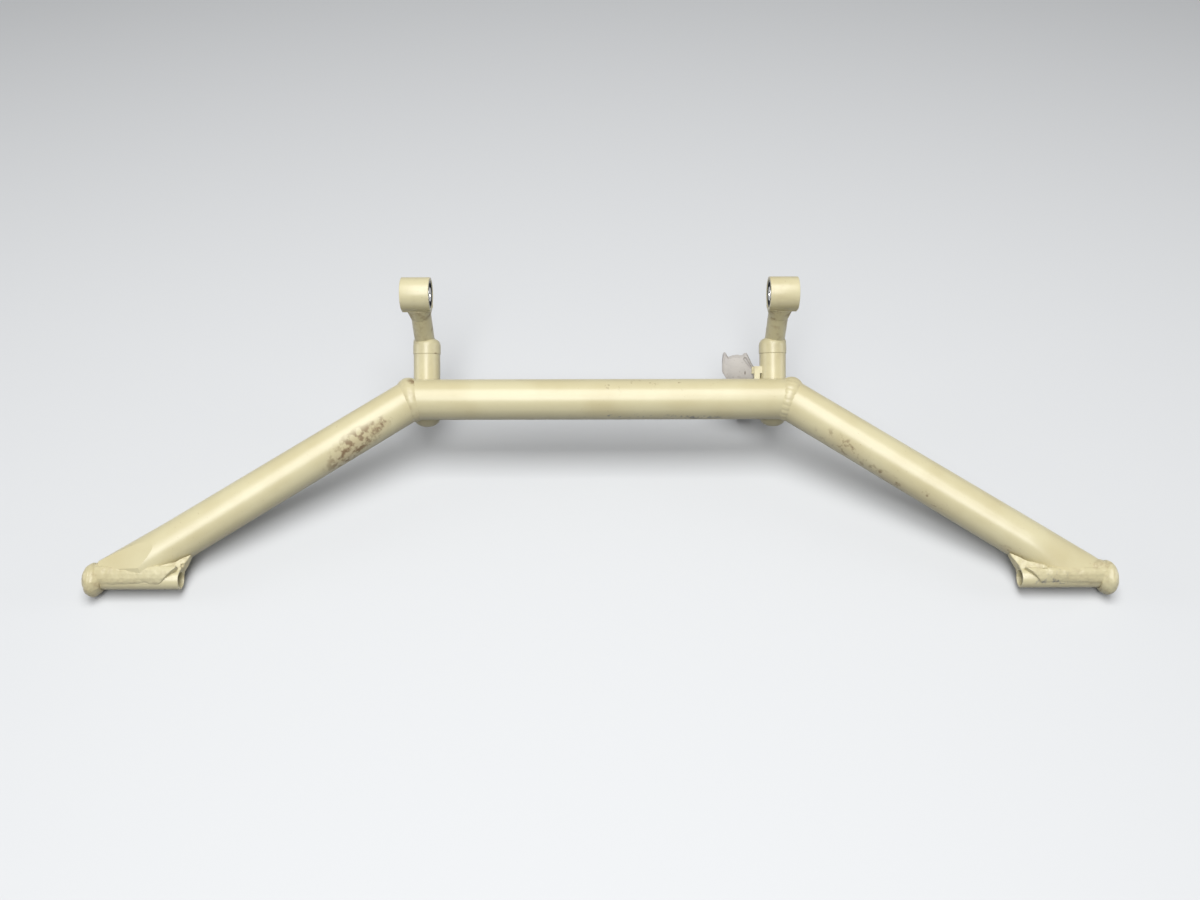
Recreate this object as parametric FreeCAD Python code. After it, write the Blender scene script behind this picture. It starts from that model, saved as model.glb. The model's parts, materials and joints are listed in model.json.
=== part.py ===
import FreeCAD, Part

import math
import os

# Welded control yoke frame of steel tube, lying on its two end collars and its stop saddle.
# X runs along the pivot axis, Y back towards the cross tube and Z up.
# The origin is on the pivot axis, midway between the two pivot tubes. All sizes are in millimetres.

os.makedirs("parts", exist_ok=True)
Vector = FreeCAD.Vector

# Fits and clearances
weld_gap = 0.1
bearing_fit = 0.01
race_gap = 0.02
running_gap = 0.2

# Frame layout: the leg axes meet the cross tube axis at the mitres and the pivot axis at the feet
cross_half = 132.9
cross_back = 125.5
cross_up = 43.3
foot_reach = 319.3

# Main tube, used for the cross tube and both legs
tube_diameter = 28.575
tube_wall = 1.65

# Lower end of each leg, pinched over the pivot tube
pinch_length = 46.0
pinch_height = 17.4
pinch_width = 31.0
pinch_run_out = 24.0
pinch_flats = 20
wrap_below_axis = 2.5

# Pivot tubes and end collars
pivot_diameter = 12.7
pivot_wall = 1.245
pivot_inboard_reach = 44.7
pivot_outboard_reach = 17.7
collar_diameter = 24.0
collar_offset = 8.3
collar_length = 10.0
collar_chamfer = 2.4

# Web between each leg and its pivot tube
gusset_thickness = 3.2
gusset_bite = 3.2
gusset_length = 26.0
gusset_hollow = 3.2
gusset_overlap = 2.5

# Sleeves behind the cross tube
sleeve_diameter = 19.05
sleeve_wall = 2.1
sleeve_inset = 7.4
sleeve_elevation = 44.3
sleeve_above = 33.8
sleeve_below = 12.0
plug_spigot = 6.0
plug_dome = 6.8
cap_diameter = 20.0
cap_band = 5.8
cap_dome = 5.1
cap_top_diameter = 12.8
cap_bulge_share = 0.7
plug_bulge_share = 0.8
plug_flat_share = 0.4

# Necks
neck_diameter = 14.2875
neck_wall = 1.65
neck_offset = 1.5
neck_elevation = 90.0
neck_height = 42.5
neck_seat = 43.7

# Bosses
boss_diameter = 23.8125
boss_length = 20.2
boss_offset = 2.8
boss_chamfer = 0.5
flare_low_drop = 16.0
flare_high_drop = 7.0
flare_edge = 0.5
flare_length = 19.0
flare_depth = 19.4

# Ball bearings, one in each boss and nearly as wide as it, shielded at both faces
bearing_outside = 19.05
bearing_bore = 6.35
bearing_recess = 0.4
ball_diameter = 3.175
ball_count = 7
ball_circle = 12.7
outer_land = 15.6
inner_land = 9.8
shield_thickness = 0.6
cage_thickness = 0.7
cage_width = 4.4
cage_pocket_gap = 0.15
ball_flat_share = 0.86

# Weld beads
mitre_bead_width = 6.4
mitre_bead_height = 1.4
mitre_bead_root = 2.0
pivot_bead = 6.0
pivot_bead_bite = 1.9
gusset_bead = 4.8
gusset_bead_bite = 1.8
collar_fillet = 5.0
collar_fillet_step = 0.8
sleeve_bead_reach = 8.4
sleeve_bead_core = 3.6
neck_bead_foot = 2.6
neck_bead_rise = 3.2
arm_bead = 2.8

# Stop saddle: part of a round shell that bulges to the front, on an arm from the right sleeve.
# Its insets are from the sleeve's axis inboard, its rises are from the middle of the sleeve up.
saddle_radius = 36.0
saddle_thickness = 2.4
saddle_setback = 8.3
saddle_axis_drop = 6.2
saddle_left_inset = 36.6
saddle_left_ear_inset = 35.4
saddle_right_ear_inset = 18.6
saddle_right_inset = 11.0
saddle_foot_inset = 24.0
saddle_ear_rise = 22.7
saddle_ear_tip = 1.5
saddle_ear_width = 3.2
saddle_rim_rise = 20.3
saddle_crown = 0.9
saddle_shoulder_top_rise = 19.0
saddle_shoulder_bottom_rise = 14.3
saddle_waist_rise = 0.8
saddle_waist_bow = 0.8
saddle_knee_rise = 12.5
arm_along = 22.0
arm_width = 5.0
arm_thickness = 5.0
arm_front = 5.0
arm_lap = 0.8
arm_sleeve_lap = 3.6
arm_leg_width = 4.0
arm_leg_length = 7.0
arm_bead_sink = 0.2

# Values worked out from the sizes above
tube_radius = tube_diameter / 2
pivot_radius = pivot_diameter / 2
collar_radius = collar_diameter / 2
pivot_inner_end = foot_reach - pivot_inboard_reach
pivot_outer_end = foot_reach + pivot_outboard_reach
collar_start = foot_reach + collar_offset
collar_end = collar_start + collar_length
sleeve_radius = sleeve_diameter / 2
neck_radius = neck_diameter / 2
boss_radius = boss_diameter / 2
ground = -collar_radius
sleeve_side = cross_half - sleeve_inset
neck_side = sleeve_side + neck_offset
boss_side = sleeve_side + boss_offset

along_x = Vector(1, 0, 0)
cross_centre = Vector(0, cross_back, cross_up)
mitre_point = Vector(cross_half, cross_back, cross_up)
foot_point = Vector(foot_reach, 0, 0)
leg_length = (foot_point - mitre_point).Length
leg_way = (foot_point - mitre_point).normalize()
mitre_normal = (along_x + leg_way).normalize()
frame_back = Vector(0, cross_back, cross_up).normalize()
frame_normal = along_x.cross(frame_back)
leg_across = frame_normal.cross(leg_way)
leg_slope = -leg_way.dot(frame_back) / leg_way.x
leg_underside = pivot_inboard_reach * leg_slope - tube_radius / leg_way.x
gusset_height = leg_underside + gusset_bite

sleeve_angle = math.radians(sleeve_elevation)
sleeve_way = Vector(0, math.cos(sleeve_angle), math.sin(sleeve_angle))
sleeve_front = along_x.cross(sleeve_way).normalize()
sleeve_distance = tube_radius + sleeve_radius + weld_gap
sleeve_centre = Vector(sleeve_side, cross_back, cross_up) - sleeve_front * sleeve_distance

neck_angle = math.radians(neck_elevation)
neck_way = Vector(0, math.cos(neck_angle), math.sin(neck_angle))
neck_foot = sleeve_centre + sleeve_way * neck_seat
neck_foot.x = neck_side
boss_centre = neck_foot + neck_way * neck_height
boss_centre.x = boss_side
boss_inner_end = boss_side - boss_length / 2
bearing_start = boss_inner_end + bearing_recess
bearing_width = boss_length - 2 * bearing_recess

saddle_back = sleeve_centre.y + saddle_setback + saddle_radius
saddle_up = sleeve_centre.z - saddle_axis_drop
saddle_left = sleeve_side - saddle_left_inset
saddle_left_ear = sleeve_side - saddle_left_ear_inset
saddle_right_ear = sleeve_side - saddle_right_ear_inset
saddle_right = sleeve_side - saddle_right_inset
saddle_foot_left = sleeve_side - saddle_foot_inset
saddle_ear_top = sleeve_centre.z + saddle_ear_rise
saddle_rim = sleeve_centre.z + saddle_rim_rise
saddle_shoulder_top = sleeve_centre.z + saddle_shoulder_top_rise
saddle_shoulder_bottom = sleeve_centre.z + saddle_shoulder_bottom_rise
saddle_waist = sleeve_centre.z + saddle_waist_rise
saddle_right_knee = sleeve_centre.z + saddle_knee_rise


def rod(start, way, length, radius):
    return Part.makeCylinder(radius, length, start, way)


def tube(start, way, length, radius, wall):
    return rod(start, way, length, radius).cut(rod(start, way, length, radius - wall))


def beyond(point, way):
    """A block that fills the space past a plane."""
    size = 4 * foot_reach
    block = Part.makeBox(size, size, size, Vector(-size / 2, -size / 2, 0))
    block.Placement = FreeCAD.Placement(point, FreeCAD.Rotation(Vector(0, 0, 1), way))
    return block


def bead(start, end, radius):
    return rod(start, (end - start).normalize(), (end - start).Length, radius)


def turned(points, base, way):
    """Revolve a closed outline of (radius, height) points about an axis through base."""
    corners = [Vector(radius, 0, height) for radius, height in points]
    outline = Part.Face(Part.makePolygon(corners + corners[:1]))
    solid = outline.revolve(Vector(0, 0, 0), Vector(0, 0, 1), 360)
    solid.Placement = FreeCAD.Placement(base, FreeCAD.Rotation(Vector(0, 0, 1), way))
    return solid


def frame_point(side, back, lift):
    """A point by its place in the plane of the legs: across, back from the pivot axis, and off it."""
    return Vector(side, 0, 0) + frame_back * back + frame_normal * lift


def cross_rod(radius):
    start = cross_centre - along_x * (cross_half + tube_diameter)
    body = rod(start, along_x, 2 * (cross_half + tube_diameter), radius)
    past_mitre = beyond(mitre_point - mitre_normal * (weld_gap / 2), mitre_normal)
    body = body.cut(past_mitre)
    return body.cut(past_mitre.mirror(Vector(0, 0, 0), along_x))


def cross_tube():
    return cross_rod(tube_radius).cut(cross_rod(tube_radius - tube_wall))


def leg_section(distance, width, height, inset):
    """An oval of flats across the leg, at a distance along its axis from the foot."""
    half_width = width / 2 - inset
    half_height = height / 2 - inset
    centre = foot_point + leg_way * distance
    corners = []
    for number in range(pinch_flats):
        angle = 2 * math.pi * number / pinch_flats
        across = leg_across * (half_width * math.cos(angle))
        corners.append(centre + across + frame_normal * (half_height * math.sin(angle)))
    return Part.makePolygon(corners + corners[:1])


def leg_body(inset):
    start = mitre_point - leg_way * tube_diameter
    straight_length = leg_length + tube_diameter - pinch_length
    straight = rod(start, leg_way, straight_length, tube_radius - inset)
    straight = straight.cut(beyond(mitre_point + mitre_normal * (weld_gap / 2), mitre_normal * -1))
    end_width = pinch_width + (pinch_width - tube_diameter) * pinch_run_out / pinch_length
    end_height = pinch_height - (tube_diameter - pinch_height) * pinch_run_out / pinch_length
    sections = [
        leg_section(-pinch_length, tube_diameter, tube_diameter, inset),
        leg_section(0, pinch_width, pinch_height, inset),
        leg_section(pinch_run_out, end_width, end_height, inset),
    ]
    pinch = Part.makeLoft(sections, True, True)
    return straight.fuse(pinch)


def trimmed_leg(body):
    body = body.cut(beyond(Vector(collar_start - weld_gap, 0, 0), along_x))
    return body.cut(beyond(frame_point(0, -wrap_below_axis, 0), frame_back * -1))


def pivot_rod(radius):
    start = Vector(pivot_inner_end - pivot_diameter, 0, 0)
    return rod(start, along_x, collar_end + pivot_diameter - start.x, radius)


def leg_tube(leg_outside):
    body = leg_outside.cut(leg_body(tube_wall))
    return body.cut(pivot_rod(pivot_radius + weld_gap))


def pivot_tube():
    length = pivot_outer_end - pivot_inner_end
    return tube(Vector(pivot_inner_end, 0, 0), along_x, length, pivot_radius, pivot_wall)


def end_collar():
    body = rod(Vector(collar_start, 0, 0), along_x, collar_length, collar_radius)
    rims = [edge for edge in body.Edges if edge.CenterOfMass.x > collar_end - collar_chamfer]
    body = body.makeChamfer(collar_chamfer, rims)
    return body.cut(pivot_rod(pivot_radius + weld_gap))


def leg_gusset(leg_outside):
    half = gusset_thickness / 2
    root = pivot_radius - gusset_overlap
    low = frame_point(pivot_inner_end + weld_gap, root, -half)
    high = frame_point(pivot_inner_end - gusset_hollow, gusset_height, -half)
    hollow = frame_point(pivot_inner_end + weld_gap, (root + 2 * gusset_height) / 3, -half)
    far = frame_point(pivot_inner_end + gusset_length, root, -half)
    edges = [
        Part.Arc(low, hollow, high).toShape(),
        Part.LineSegment(high, far).toShape(),
        Part.LineSegment(far, low).toShape(),
    ]
    web = Part.Face(Part.Wire(edges)).extrude(frame_normal * gusset_thickness)
    return web.cut(leg_outside).cut(pivot_rod(pivot_radius + weld_gap))


def pivot_weld(leg_outside):
    """A thick bead along each side of the pivot tube, where the pinched leg wraps over it."""
    beads = []
    radius = pivot_bead / 2
    start = pivot_inner_end + gusset_length / 2
    for side in (-1, 1):
        lift = side * (pivot_radius + radius - pivot_bead_bite)
        from_point = frame_point(start, -wrap_below_axis, lift)
        to_point = frame_point(collar_start - weld_gap, -wrap_below_axis, lift)
        beads.append(bead(from_point, to_point, radius).cut(leg_outside))
    return Part.makeCompound(beads).cut(pivot_rod(pivot_radius + weld_gap))


def gusset_weld(leg_outside, web, other_beads):
    """A bead on each face of the web, up along the leg from the pivot tube."""
    radius = gusset_bead / 2
    solids = []
    for side in (-1, 1):
        lift = side * (gusset_thickness / 2 + radius - gusset_bead_bite)
        low = frame_point(pivot_inner_end + gusset_length, pivot_radius, lift)
        high = frame_point(pivot_inner_end - gusset_hollow + radius, gusset_height - radius, lift)
        solids.append(bead(low, high, radius))
    welds = Part.makeCompound(solids)
    for neighbour in (leg_outside, web, other_beads, pivot_rod(pivot_radius + weld_gap)):
        welds = welds.cut(neighbour)
    return welds


def collar_weld(leg_outside, other_beads):
    """A fillet that tapers from the inboard face of the collar down to the pivot tube and the leg."""
    base = Vector(collar_start - weld_gap, 0, 0)
    wide = collar_radius - collar_fillet_step
    narrow = pivot_radius + collar_fillet_step
    weld = Part.makeCone(wide, narrow, collar_fillet, base, along_x * -1)
    for neighbour in (leg_outside, other_beads, pivot_rod(pivot_radius + weld_gap)):
        weld = weld.cut(neighbour)
    return weld


def mitre_ring():
    """A ridged bead that follows the oval where the two tubes meet."""
    oval_way = frame_normal.cross(mitre_normal).normalize()
    lean = oval_way.dot(frame_normal.cross(along_x).normalize())
    long_end = mitre_point + oval_way * (tube_radius / abs(lean))
    path = Part.Ellipse(long_end, mitre_point + frame_normal * tube_radius, mitre_point).toShape()
    half = mitre_bead_width / 2 * (1 + mitre_bead_root / mitre_bead_height)
    profile = [(-mitre_bead_root, -half), (mitre_bead_height, 0), (-mitre_bead_root, half)]
    corners = [long_end + oval_way * height + mitre_normal * across for height, across in profile]
    outline = Part.makePolygon(corners + corners[:1])
    return Part.Wire(path).makePipeShell([outline], True, True)


def mitre_weld(leg_outside, sleeve_outside):
    return mitre_ring().cut(cross_rod(tube_radius)).cut(leg_outside).cut(sleeve_outside)


def sleeve_rod(radius, below, above):
    start = sleeve_centre - sleeve_way * below
    return rod(start, sleeve_way, below + above, radius)


def sleeve():
    outside = sleeve_rod(sleeve_radius, sleeve_below, sleeve_above)
    return outside.cut(sleeve_rod(sleeve_radius - sleeve_wall, sleeve_below, sleeve_above))


def sleeve_plug():
    """A domed plug with a spigot, in the lower end of the sleeve."""
    spigot = sleeve_radius - sleeve_wall - weld_gap
    outline = [
        (0, -plug_spigot),
        (spigot, -plug_spigot),
        (spigot, 0),
        (sleeve_radius, 0),
        (sleeve_radius * plug_bulge_share, plug_dome * (1 - plug_flat_share)),
        (sleeve_radius * plug_flat_share, plug_dome),
        (0, plug_dome),
    ]
    return turned(outline, sleeve_centre - sleeve_way * (sleeve_below + weld_gap), sleeve_way * -1)


def sleeve_cap():
    """A turned cap with a sloped shoulder and a spigot, in the upper end of the sleeve."""
    spigot = sleeve_radius - sleeve_wall - weld_gap
    band = cap_diameter / 2
    top = cap_top_diameter / 2
    outline = [
        (0, -plug_spigot),
        (spigot, -plug_spigot),
        (spigot, 0),
        (band, 0),
        (band, cap_band),
        (top + (band - top) * cap_bulge_share, cap_band + cap_dome * cap_bulge_share),
        (top, cap_band + cap_dome),
        (0, cap_band + cap_dome),
    ]
    return turned(outline, sleeve_centre + sleeve_way * (sleeve_above + weld_gap), sleeve_way)


def sleeve_weld(sleeve_outside, mitre_bead):
    """The filled space round the spot where the sleeve bears on the cross tube."""
    from_point = Vector(sleeve_side, cross_back, cross_up)
    disc = rod(from_point, sleeve_front * -1, sleeve_distance, sleeve_bead_reach)
    core = rod(from_point, sleeve_front * -1, sleeve_distance, sleeve_bead_core)
    welds = disc.cut(core).cut(cross_rod(tube_radius))
    past_mitre = beyond(mitre_point - mitre_normal * (weld_gap / 2), mitre_normal)
    for neighbour in (past_mitre, sleeve_outside, mitre_bead):
        welds = welds.cut(neighbour)
    return welds


def boss_rod(radius):
    start = Vector(boss_inner_end, boss_centre.y, boss_centre.z)
    return rod(start, along_x, boss_length, radius)


def neck_mitre():
    """The space under the plane on which the lower end of the neck is cut."""
    middle = math.radians((sleeve_elevation + neck_elevation) / 2)
    return beyond(neck_foot, Vector(0, -math.cos(middle), -math.sin(middle)))


def neck_rod(radius):
    start = neck_foot - neck_way * sleeve_diameter
    return rod(start, neck_way, neck_height + sleeve_diameter, radius)


def neck(cap):
    body = neck_rod(neck_radius).cut(neck_rod(neck_radius - neck_wall))
    body = body.cut(neck_mitre()).cut(boss_rod(boss_radius + weld_gap))
    return body.cut(cap)


def neck_weld(cap):
    """A tapered bead round the foot of the neck, buried in the cap at the front and open at the back."""
    middle = math.radians((sleeve_elevation + neck_elevation) / 2)
    plane_way = Vector(0, math.cos(middle), math.sin(middle))
    base = neck_foot - plane_way * neck_bead_rise
    weld = Part.makeCone(neck_radius + neck_bead_foot, neck_radius, 2 * neck_bead_rise, base, plane_way)
    weld = weld.cut(neck_rod(neck_radius)).cut(cap)
    return weld.cut(sleeve_rod(sleeve_radius + weld_gap, 0, sleeve_above))


def boss():
    body = boss_rod(boss_radius)
    rims = [edge for edge in body.Edges if len(edge.Vertexes) == 1 and edge.Length > boss_diameter]
    body = body.makeChamfer(boss_chamfer, rims)
    return body.cut(boss_rod(bearing_outside / 2 + bearing_fit))


def boss_weld():
    """The flare of weld from the neck out to the underside of the boss."""
    sections = []
    flare = [
        (flare_low_drop, neck_radius + flare_edge, neck_radius + flare_edge, neck_side),
        (flare_high_drop, flare_length / 2, flare_depth / 2, boss_side),
    ]
    for drop, half_length, half_depth, side in flare:
        oval = Part.Ellipse(Vector(0, 0, 0), half_length, min(half_depth, half_length)).toShape()
        centre = Vector(side, boss_centre.y, boss_centre.z) - neck_way * drop
        turn = FreeCAD.Rotation(along_x, neck_way.cross(along_x), neck_way, "ZXY")
        oval.Placement = FreeCAD.Placement(centre, turn)
        sections.append(Part.Wire(oval))
    body = Part.makeLoft(sections, True, True)
    return body.cut(boss_rod(boss_radius)).cut(neck_rod(neck_radius))


def ring(start, length, outer, inner):
    centre = Vector(start, boss_centre.y, boss_centre.z)
    return tube(centre, along_x, length, outer, outer - inner)


def around_boss(angle, radius, side):
    across = radius * math.cos(angle)
    lift = radius * math.sin(angle)
    return Vector(side, boss_centre.y + across, boss_centre.z + lift)


def raceway():
    """The space for the balls, with a V groove for each race."""
    middle = ball_circle / 2
    half = (ball_diameter / 2 + race_gap) * math.sqrt(2)
    outline = [(middle - half, 0), (middle, -half), (middle + half, 0), (middle, half)]
    return turned(outline, boss_centre, along_x)


def outer_race():
    """The outer ring with a thin shield at each face that stops just short of the inner ring."""
    body = ring(bearing_start, bearing_width, bearing_outside / 2, inner_land / 2 + running_gap)
    space_start = bearing_start + shield_thickness
    space_length = bearing_width - 2 * shield_thickness
    return body.cut(ring(space_start, space_length, outer_land / 2, 0)).cut(raceway())


def inner_race():
    return ring(bearing_start, bearing_width, inner_land / 2, bearing_bore / 2).cut(raceway())


def balls():
    """Balls with flat facets, whose corners lie on the true ball."""
    width = ball_diameter * ball_flat_share
    cube = Part.makeBox(width, width, width, Vector(-width / 2, -width / 2, -width / 2))
    ball = cube
    for axis in (Vector(1, 0, 0), Vector(0, 1, 0), Vector(0, 0, 1)):
        ball = ball.common(cube.rotated(Vector(0, 0, 0), axis, 45))
    row = []
    for number in range(ball_count):
        place = around_boss(2 * math.pi * number / ball_count, ball_circle / 2, boss_side)
        row.append(ball.translated(place))
    return Part.makeCompound(row)


def cage_prism(radius):
    """A prism along the pivot of the boss with two flats for each ball."""
    corners = []
    for number in range(2 * ball_count):
        angle = (number + 0.5) * math.pi / ball_count
        corners.append(around_boss(angle, radius, boss_side - cage_width / 2))
    outline = Part.Face(Part.makePolygon(corners + corners[:1]))
    return outline.extrude(along_x * cage_width)


def cage():
    """A ring of flats with a square pocket round each ball."""
    middle = ball_circle / 2
    body = cage_prism(middle + cage_thickness / 2).cut(cage_prism(middle - cage_thickness / 2))
    pocket = ball_diameter + 2 * cage_pocket_gap
    for number in range(ball_count):
        angle = 2 * math.pi * number / ball_count
        corner = Vector(-pocket / 2, -pocket / 2, -pocket / 2)
        hole = Part.makeBox(pocket, pocket, pocket, corner)
        hole.rotate(Vector(0, 0, 0), along_x, math.degrees(angle))
        hole.translate(around_boss(angle, middle, boss_side))
        body = body.cut(hole)
    return body


def saddle_round(radius):
    start = Vector(saddle_left - saddle_radius, saddle_back, saddle_up)
    return rod(start, along_x, saddle_right - saddle_left + 2 * saddle_radius, radius)


def saddle_corner(side, height):
    return Vector(side, saddle_back - saddle_radius - 1, height)


def stop_saddle():
    """A round shell cut to an outline with two small ears at its top corners and a narrow foot."""
    shell = saddle_round(saddle_radius).cut(saddle_round(saddle_radius - saddle_thickness))
    rim_left = saddle_corner(saddle_left_ear + saddle_ear_width, saddle_rim)
    rim_right = saddle_corner(saddle_right_ear - saddle_ear_width, saddle_rim)
    rim_middle = (rim_left + rim_right) * 0.5 + Vector(0, 0, saddle_crown)
    left_ear = saddle_corner(saddle_left_ear, saddle_ear_top)
    left_tip = saddle_corner(saddle_left_ear + saddle_ear_tip, saddle_ear_top)
    right_ear = saddle_corner(saddle_right_ear, saddle_ear_top)
    right_tip = saddle_corner(saddle_right_ear - saddle_ear_tip, saddle_ear_top)
    left_high = saddle_corner(saddle_left, saddle_shoulder_top)
    left_low = saddle_corner(saddle_left, saddle_shoulder_bottom)
    waist = saddle_corner(saddle_foot_left, saddle_waist)
    waist_bend = (left_low + waist) * 0.5 - Vector(saddle_waist_bow, 0, saddle_waist_bow)
    edges = [
        Part.Arc(rim_left, rim_middle, rim_right).toShape(),
        Part.LineSegment(rim_right, right_tip).toShape(),
        Part.LineSegment(right_tip, right_ear).toShape(),
        Part.LineSegment(right_ear, saddle_corner(saddle_right, saddle_right_knee)).toShape(),
        Part.LineSegment(
            saddle_corner(saddle_right, saddle_right_knee), saddle_corner(saddle_right, ground)
        ).toShape(),
        Part.LineSegment(
            saddle_corner(saddle_right, ground), saddle_corner(saddle_foot_left, ground)
        ).toShape(),
        Part.LineSegment(saddle_corner(saddle_foot_left, ground), waist).toShape(),
        Part.Arc(waist, waist_bend, left_low).toShape(),
        Part.LineSegment(left_low, left_high).toShape(),
        Part.LineSegment(left_high, left_ear).toShape(),
        Part.LineSegment(left_ear, left_tip).toShape(),
        Part.LineSegment(left_tip, rim_left).toShape(),
    ]
    outline = Part.Face(Part.Wire(edges))
    return shell.common(outline.extrude(Vector(0, saddle_radius, 0)))


def arm_point(side, along, front):
    point = sleeve_centre + sleeve_way * along + sleeve_front * front
    point.x = side
    return point


def arm_right_edge():
    """The saddle's slanted right edge at the height of the arm."""
    height = arm_point(0, arm_along, 0).z
    share = (saddle_ear_top - height) / (saddle_ear_top - saddle_right_knee)
    return saddle_right_ear + (saddle_right - saddle_right_ear) * share


def stop_arm(sleeve_outside):
    """A short bar from the saddle's right edge to the sleeve, with a leg down that edge."""
    left = arm_right_edge() - arm_lap
    right = sleeve_side - sleeve_radius + arm_sleeve_lap
    bottom = arm_along - arm_width / 2
    turn = FreeCAD.Rotation(along_x, sleeve_way, sleeve_front, "ZXY")
    bar = Part.makeBox(right - left, arm_width, arm_thickness)
    bar.Placement = FreeCAD.Placement(arm_point(left, bottom, arm_front - arm_thickness), turn)
    leg = Part.makeBox(arm_leg_width, arm_leg_length + arm_width / 2, arm_thickness)
    leg_corner = arm_point(left, bottom - arm_leg_length, arm_front - arm_thickness)
    leg.Placement = FreeCAD.Placement(leg_corner, turn)
    arm = bar.fuse(leg).removeSplitter()
    return arm.cut(saddle_round(saddle_radius + weld_gap)).cut(sleeve_outside)


def saddle_face(along):
    """How far in front of the sleeve's axis the saddle's outer face lies, at a place along the sleeve."""
    to_axis = arm_point(0, along, 0) - Vector(0, saddle_back, saddle_up)
    facing = to_axis.dot(sleeve_front)
    return math.sqrt(facing**2 + saddle_radius**2 - to_axis.dot(to_axis)) - facing


def stop_arm_weld(sleeve_outside, arm):
    """Beads above and below the bar at the sleeve, and across its lap on the saddle."""
    radius = arm_bead / 2
    sleeve_edge = sleeve_side - sleeve_radius + arm_sleeve_lap / 2
    beads = []
    for side in (-1, 1):
        along = arm_along + side * (arm_width + radius) / 2
        start = arm_point(sleeve_edge, along, 0)
        end = arm_point(sleeve_edge, along, arm_front - radius)
        beads.append(bead(start, end, radius))
    lap_side = arm_right_edge() - arm_lap
    lap_face = saddle_face(arm_along) - arm_bead_sink
    low = arm_point(lap_side, arm_along - arm_width / 2, lap_face)
    high = arm_point(lap_side, arm_along + arm_width / 2, lap_face)
    beads.append(bead(low, high, radius))
    welds = Part.makeCompound(beads)
    for neighbour in (sleeve_outside, arm, saddle_round(saddle_radius)):
        welds = welds.cut(neighbour)
    return welds


def save(name, shape):
    solids = shape.Solids
    body = solids[0] if len(solids) == 1 else Part.makeCompound(solids)
    body.exportStep("parts/" + name + ".step")


def right_hand_pieces():
    leg_outside = trimmed_leg(leg_body(0))
    sleeve_outside = sleeve_rod(sleeve_radius + weld_gap, sleeve_below, sleeve_above)
    collar = end_collar()
    web = leg_gusset(leg_outside)
    cap = sleeve_cap()
    pivot_beads = pivot_weld(leg_outside)
    gusset_beads = gusset_weld(leg_outside, web, pivot_beads)
    mitre_bead = mitre_weld(leg_outside, sleeve_outside)
    pieces = {
        "leg_tube": leg_tube(leg_outside),
        "pivot_tube": pivot_tube(),
        "end_collar": collar,
        "leg_gusset": web,
        "sleeve": sleeve(),
        "sleeve_plug": sleeve_plug(),
        "sleeve_cap": cap,
        "neck": neck(cap),
        "boss": boss(),
        "mitre_weld": mitre_bead,
        "pivot_weld": pivot_beads,
        "gusset_weld": gusset_beads,
        "collar_weld": collar_weld(leg_outside, pivot_beads),
        "sleeve_weld": sleeve_weld(sleeve_outside, mitre_bead),
        "neck_weld": neck_weld(cap),
        "boss_weld": boss_weld(),
        "outer_race": outer_race(),
        "inner_race": inner_race(),
        "balls": balls(),
        "cage": cage(),
    }
    return pieces


save("cross_tube", cross_tube())
for piece_name, piece in right_hand_pieces().items():
    save("right_" + piece_name, piece)
    save("left_" + piece_name, piece.mirror(Vector(0, 0, 0), along_x))

right_sleeve_outside = sleeve_rod(sleeve_radius + weld_gap, sleeve_below, sleeve_above)
stop_bar = stop_arm(right_sleeve_outside)
save("stop_saddle", stop_saddle())
save("stop_arm", stop_bar)
save("stop_arm_weld", stop_arm_weld(right_sleeve_outside, stop_bar))
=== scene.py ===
import json
import math

import bpy
from mathutils import Matrix, Vector


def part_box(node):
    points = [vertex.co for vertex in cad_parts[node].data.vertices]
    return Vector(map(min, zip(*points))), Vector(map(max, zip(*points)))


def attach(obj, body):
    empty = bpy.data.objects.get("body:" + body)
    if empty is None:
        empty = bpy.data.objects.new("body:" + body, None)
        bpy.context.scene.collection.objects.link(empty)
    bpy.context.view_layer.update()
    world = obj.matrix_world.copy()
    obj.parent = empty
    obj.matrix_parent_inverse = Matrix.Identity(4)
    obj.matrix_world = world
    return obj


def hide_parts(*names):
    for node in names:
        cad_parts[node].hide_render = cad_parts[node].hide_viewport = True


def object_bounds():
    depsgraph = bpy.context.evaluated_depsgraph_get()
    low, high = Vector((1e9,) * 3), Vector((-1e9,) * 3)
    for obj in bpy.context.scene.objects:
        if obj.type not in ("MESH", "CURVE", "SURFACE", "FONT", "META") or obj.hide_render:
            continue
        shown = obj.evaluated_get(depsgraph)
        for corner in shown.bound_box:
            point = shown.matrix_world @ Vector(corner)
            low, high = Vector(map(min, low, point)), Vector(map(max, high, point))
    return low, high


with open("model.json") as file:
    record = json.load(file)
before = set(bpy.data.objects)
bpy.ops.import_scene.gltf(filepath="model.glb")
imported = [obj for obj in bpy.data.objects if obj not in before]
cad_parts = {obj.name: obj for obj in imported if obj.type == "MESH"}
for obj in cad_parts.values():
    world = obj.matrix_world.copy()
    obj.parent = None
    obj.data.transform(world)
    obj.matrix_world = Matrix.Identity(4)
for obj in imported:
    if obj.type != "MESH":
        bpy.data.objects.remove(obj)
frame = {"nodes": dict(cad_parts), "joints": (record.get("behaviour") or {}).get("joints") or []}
cad_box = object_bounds()

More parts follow.
